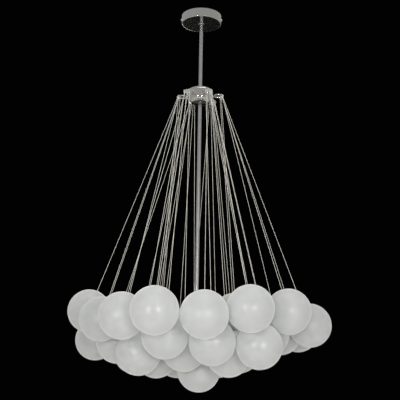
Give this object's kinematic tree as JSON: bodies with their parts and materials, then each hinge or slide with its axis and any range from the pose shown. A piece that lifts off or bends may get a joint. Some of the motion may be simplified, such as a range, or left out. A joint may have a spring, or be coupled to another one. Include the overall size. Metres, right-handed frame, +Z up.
{
  "type": "globe cluster chandelier",
  "caption": "Hanging light of frosted white glass globes in a bunch on taut cords from a domed metal hub, under a short stem and a round ceiling canopy.",
  "frame": {"origin": "middle of the ceiling crossbar's top face, on the stem's axis, at the ceiling", "axes": "+Z up to the ceiling along the stem, -Y the front that the picture shows, +X to its right"},
  "size_m": [0.921, 0.9872, 1.4057],
  "materials": {
    "zinc_steel": "zinc plated",
    "moulded_block": "moulded",
    "screw_brass": "turned",
    "polished_nickel": "polished",
    "satin_nickel": "satin",
    "dark_enamel": "satin",
    "moulded_socket": "moulded",
    "frosted_glass": "acid-frosted white",
    "bulb_glass": "opal",
    "bulb_cap_metal": "rolled thread",
    "twisted_cord": "two-ply twisted"
  },
  "bodies": {
    "frame": {"crossbar": "zinc_steel", "terminal_block": "moulded_block", "terminal_screws": "screw_brass", "nipple_nuts": "zinc_steel", "canopy_screws": "polished_nickel", "stem_coupler": "polished_nickel", "upper_stem": "satin_nickel", "lower_stem": "satin_nickel", "threaded_nipples": "zinc_steel", "hub_shell": "polished_nickel", "hub_collars": "polished_nickel", "hub_spacer": "zinc_steel", "hub_base": "dark_enamel", "cord_rings": "polished_nickel", "ring_nuts": "zinc_steel", "lamp_body": "satin_nickel", "lamp_cover": "satin_nickel", "centre_hook": "polished_nickel", "lamp_sockets": "moulded_socket", "centre_globe": "frosted_glass", "middle_tier_globes": "frosted_glass", "lower_tier_globes": "frosted_glass", "middle_tier_cords": "twisted_cord", "lower_tier_cords": "twisted_cord"},
    "canopy_cover": {"canopy": "polished_nickel", "canopy_ferrule": "polished_nickel"},
    "hung_globe_01": {"outer_globe_01": "frosted_glass", "outer_cord_01": "twisted_cord"},
    "hung_globe_02": {"outer_globe_02": "frosted_glass", "outer_cord_02": "twisted_cord"},
    "hung_globe_03": {"outer_globe_03": "frosted_glass", "outer_cord_03": "twisted_cord"},
    "hung_globe_04": {"outer_globe_04": "frosted_glass", "outer_cord_04": "twisted_cord"},
    "hung_globe_05": {"outer_globe_05": "frosted_glass", "outer_cord_05": "twisted_cord"},
    "hung_globe_06": {"outer_globe_06": "frosted_glass", "outer_cord_06": "twisted_cord"},
    "hung_globe_07": {"outer_globe_07": "frosted_glass", "outer_cord_07": "twisted_cord"},
    "hung_globe_08": {"outer_globe_08": "frosted_glass", "outer_cord_08": "twisted_cord"},
    "hung_globe_09": {"outer_globe_09": "frosted_glass", "outer_cord_09": "twisted_cord"},
    "hung_globe_10": {"outer_globe_10": "frosted_glass", "outer_cord_10": "twisted_cord"},
    "hung_globe_11": {"outer_globe_11": "frosted_glass", "outer_cord_11": "twisted_cord"},
    "hung_globe_12": {"outer_globe_12": "frosted_glass", "outer_cord_12": "twisted_cord"},
    "hung_globe_13": {"outer_globe_13": "frosted_glass", "outer_cord_13": "twisted_cord"},
    "hung_globe_14": {"outer_globe_14": "frosted_glass", "outer_cord_14": "twisted_cord"},
    "bulb_1": {"bulb_1_glass": "bulb_glass", "bulb_1_cap": "bulb_cap_metal"},
    "bulb_2": {"bulb_2_glass": "bulb_glass", "bulb_2_cap": "bulb_cap_metal"},
    "bulb_3": {"bulb_3_glass": "bulb_glass", "bulb_3_cap": "bulb_cap_metal"}
  },
  "joints": [
    {"name": "canopy_slide", "type": "slide", "parent": "frame", "child": "canopy_cover", "axis": [0, 0, -1], "range_m": [0, 0.2]},
    {"name": "globe_swing_01", "type": "hinge", "parent": "frame", "child": "hung_globe_01", "pos_m": [-0.08332, 0.00899, -0.324], "axis": [-0.0349, 0.9994, 0], "range_deg": [0, 15]},
    {"name": "globe_swing_02", "type": "hinge", "parent": "frame", "child": "hung_globe_02", "pos_m": [-0.07935, -0.00084, -0.324], "axis": [-0.6691, 0.7431, 0], "range_deg": [0, 15]},
    {"name": "globe_swing_03", "type": "hinge", "parent": "frame", "child": "hung_globe_03", "pos_m": [-0.05369, -0.06435, -0.324], "axis": [-0.6691, 0.7431, 0], "range_deg": [0, 15]},
    {"name": "globe_swing_04", "type": "hinge", "parent": "frame", "child": "hung_globe_04", "pos_m": [-0.04433, -0.06933, -0.324], "axis": [-0.9903, 0.1392, 0], "range_deg": [0, 15]},
    {"name": "globe_swing_05", "type": "hinge", "parent": "frame", "child": "hung_globe_05", "pos_m": [0.0262, -0.079, -0.324], "axis": [-0.9994, -0.0349, 0], "range_deg": [0, 15]},
    {"name": "globe_swing_06", "type": "hinge", "parent": "frame", "child": "hung_globe_06", "pos_m": [0.03147, -0.07788, -0.324], "axis": [-0.9272, -0.3746, 0], "range_deg": [0, 15]},
    {"name": "globe_swing_07", "type": "hinge", "parent": "frame", "child": "hung_globe_07", "pos_m": [0.08005, -0.01908, -0.324], "axis": [-0.6157, -0.788, 0], "range_deg": [0, 15]},
    {"name": "globe_swing_08", "type": "hinge", "parent": "frame", "child": "hung_globe_08", "pos_m": [0.08257, -0.01432, -0.324], "axis": [-0.309, -0.9511, 0], "range_deg": [0, 15]},
    {"name": "globe_swing_09", "type": "hinge", "parent": "frame", "child": "hung_globe_09", "pos_m": [0.0822, -0.00373, -0.324], "axis": [0.3746, -0.9272, 0], "range_deg": [0, 15]},
    {"name": "globe_swing_10", "type": "hinge", "parent": "frame", "child": "hung_globe_10", "pos_m": [0.05532, 0.06219, -0.324], "axis": [0.5299, -0.848, 0], "range_deg": [0, 15]},
    {"name": "globe_swing_11", "type": "hinge", "parent": "frame", "child": "hung_globe_11", "pos_m": [0.04696, 0.06872, -0.324], "axis": [0.9511, -0.309, 0], "range_deg": [0, 15]},
    {"name": "globe_swing_12", "type": "hinge", "parent": "frame", "child": "hung_globe_12", "pos_m": [0.03637, 0.06835, -0.324], "axis": [0.9272, 0.3746, 0], "range_deg": [0, 15]},
    {"name": "globe_swing_13", "type": "hinge", "parent": "frame", "child": "hung_globe_13", "pos_m": [-0.03147, 0.07788, -0.324], "axis": [0.9272, 0.3746, 0], "range_deg": [0, 15]},
    {"name": "globe_swing_14", "type": "hinge", "parent": "frame", "child": "hung_globe_14", "pos_m": [-0.03935, 0.07079, -0.324], "axis": [0.4695, 0.8829, 0], "range_deg": [0, 15]},
    {"name": "bulb_turn_1", "type": "hinge", "parent": "frame", "child": "bulb_1", "pos_m": [0, 0, -1.14546], "axis": [-0.342, 0.9397, 0], "continuous": true},
    {"name": "bulb_turn_2", "type": "hinge", "parent": "frame", "child": "bulb_2", "pos_m": [0, 0, -1.14546], "axis": [-0.6428, -0.766, 0], "continuous": true},
    {"name": "bulb_turn_3", "type": "hinge", "parent": "frame", "child": "bulb_3", "pos_m": [0, 0, -1.14546], "axis": [0.9848, -0.1736, 0], "continuous": true}
  ]
}
